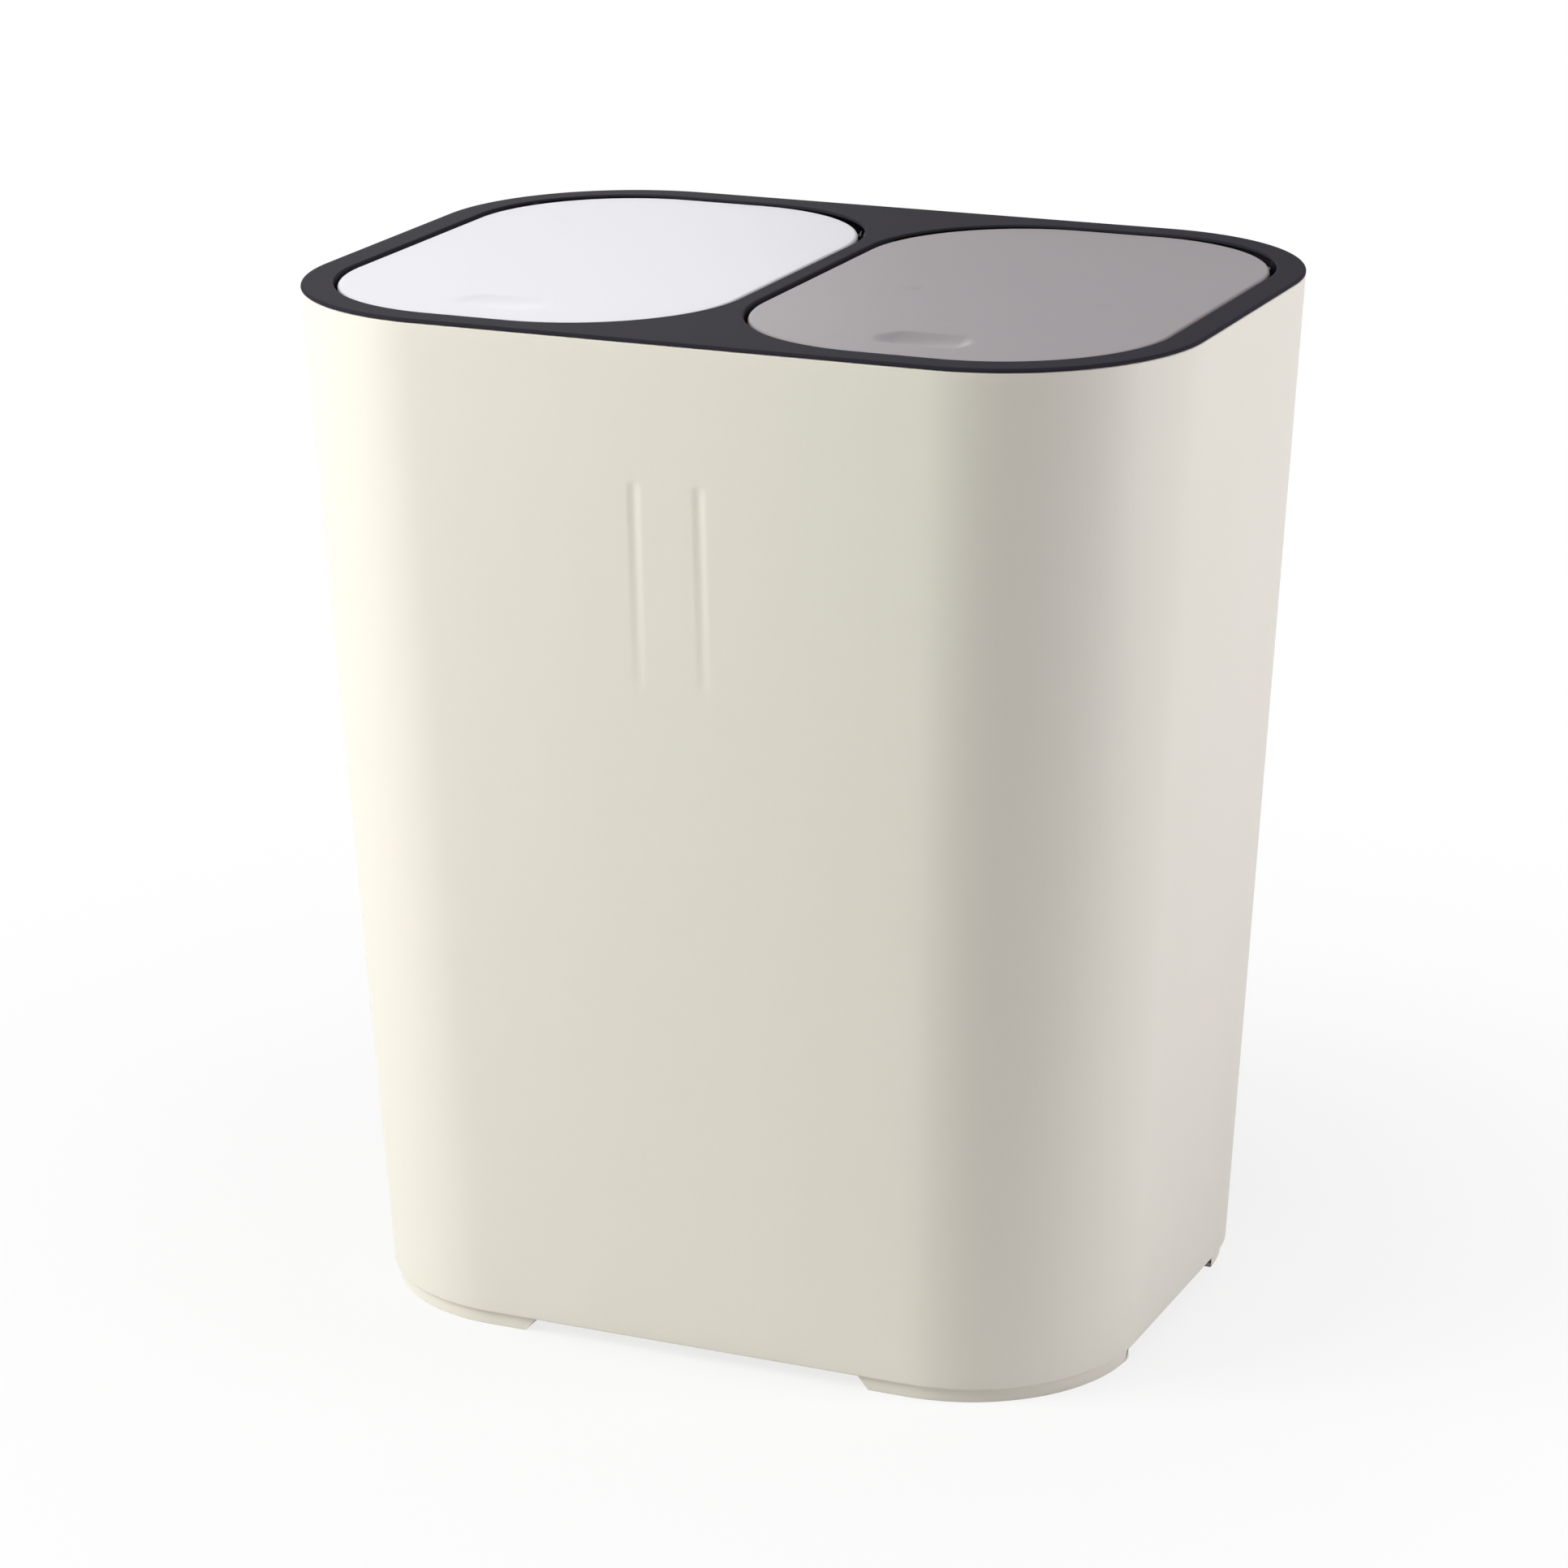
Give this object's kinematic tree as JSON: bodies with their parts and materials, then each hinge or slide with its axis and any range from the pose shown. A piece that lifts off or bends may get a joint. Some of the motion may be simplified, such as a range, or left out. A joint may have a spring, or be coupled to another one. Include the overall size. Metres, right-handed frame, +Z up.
{
  "type": "double recycling bin",
  "caption": "Tapered two-compartment recycling bin with push-to-open lids, a lift-off top frame and lift-out inner buckets.",
  "frame": {"origin": "on the floor, under the middle of the bin", "axes": "+Z up, +X to the right across the width as seen from the front, +Y to the back"},
  "size_m": [0.2744, 0.1978, 0.31],
  "materials": {
    "cream_plastic": "satin moulded polypropylene, very fine grain",
    "charcoal_plastic": "satin moulded plastic",
    "white_plastic": "satin moulded plastic",
    "warm_grey_plastic": "satin moulded plastic",
    "bucket_plastic": "fine matt moulded polypropylene",
    "latch_plastic": "smooth moulded acetal",
    "natural_plastic": "smooth natural acetal",
    "spring_steel": "drawn spring wire",
    "zinc_steel": "zinc plated steel"
  },
  "bodies": {
    "shell": {"body_shell": "cream_plastic"},
    "frame": {"top_frame": "charcoal_plastic", "left_latch_housing": "latch_plastic", "left_latch_spring": "spring_steel", "left_latch_screw_a": "zinc_steel", "left_latch_screw_b": "zinc_steel", "right_latch_housing": "latch_plastic", "right_latch_spring": "spring_steel", "right_latch_screw_a": "zinc_steel", "right_latch_screw_b": "zinc_steel"},
    "left_pivot": {"left_hinge_pin": "zinc_steel", "left_torsion_spring": "spring_steel"},
    "left_lid_body": {"left_lid": "white_plastic", "left_striker": "natural_plastic"},
    "left_plunger_body": {"left_latch_plunger": "natural_plastic"},
    "left_bucket_body": {"left_bucket": "bucket_plastic"},
    "left_bail_body": {"left_bail": "latch_plastic"},
    "right_pivot": {"right_hinge_pin": "zinc_steel", "right_torsion_spring": "spring_steel"},
    "right_lid_body": {"right_lid": "warm_grey_plastic", "right_striker": "natural_plastic"},
    "right_plunger_body": {"right_latch_plunger": "natural_plastic"},
    "right_bucket_body": {"right_bucket": "bucket_plastic"},
    "right_bail_body": {"right_bail": "latch_plastic"}
  },
  "joints": [
    {"name": "frame_lift", "type": "slide", "parent": "shell", "child": "frame", "axis": [0, 0, 1], "range_m": [0, 0.6]},
    {"name": "left_lid_press", "type": "hinge", "parent": "frame", "child": "left_pivot", "pos_m": [-0.0654, 0.06835, 0.3065], "axis": [-1, 0, 0], "range_deg": [-1.2, 0], "stiffness_Nm_per_rad": 70, "springref_deg": 0.23},
    {"name": "left_lid_open", "type": "hinge", "parent": "left_pivot", "child": "left_lid_body", "pos_m": [-0.0654, 0.06835, 0.3065], "axis": [-1, 0, 0], "range_deg": [0, 65], "deforming": ["left_torsion_spring"]},
    {"name": "left_latch_travel", "type": "slide", "parent": "frame", "child": "left_plunger_body", "axis": [0, 0, 1], "range_m": [-0.0033, 0], "deforming": ["left_latch_spring"]},
    {"name": "left_bucket_lift", "type": "slide", "parent": "shell", "child": "left_bucket_body", "axis": [0, 0, 1], "range_m": [0, 0.3]},
    {"name": "left_bail_swing", "type": "hinge", "parent": "left_bucket_body", "child": "left_bail_body", "pos_m": [-0.06645, 0, 0.2743], "axis": [0, 1, 0], "range_deg": [0, 90]},
    {"name": "right_lid_press", "type": "hinge", "parent": "frame", "child": "right_pivot", "pos_m": [0.0654, 0.06835, 0.3065], "axis": [-1, 0, 0], "range_deg": [-1.2, 0], "stiffness_Nm_per_rad": 70, "springref_deg": 0.23},
    {"name": "right_lid_open", "type": "hinge", "parent": "right_pivot", "child": "right_lid_body", "pos_m": [0.0654, 0.06835, 0.3065], "axis": [-1, 0, 0], "range_deg": [0, 65], "deforming": ["right_torsion_spring"]},
    {"name": "right_latch_travel", "type": "slide", "parent": "frame", "child": "right_plunger_body", "axis": [0, 0, 1], "range_m": [-0.0033, 0], "deforming": ["right_latch_spring"]},
    {"name": "right_bucket_lift", "type": "slide", "parent": "shell", "child": "right_bucket_body", "axis": [0, 0, 1], "range_m": [0, 0.3]},
    {"name": "right_bail_swing", "type": "hinge", "parent": "right_bucket_body", "child": "right_bail_body", "pos_m": [0.06645, 0, 0.2743], "axis": [0, -1, 0], "range_deg": [0, 90]}
  ],
  "couplings": [
    {"joint": "left_latch_travel", "follows": "left_lid_press", "m_per_rad": 0.1523},
    {"joint": "left_bucket_lift", "follows": "frame_lift", "ratio": 0.5},
    {"joint": "left_bail_swing", "follows": "frame_lift", "rad_per_m": 2.6177},
    {"joint": "right_latch_travel", "follows": "right_lid_press", "m_per_rad": 0.1523},
    {"joint": "right_bucket_lift", "follows": "frame_lift", "ratio": 0.5},
    {"joint": "right_bail_swing", "follows": "frame_lift", "rad_per_m": 2.6177}
  ]
}
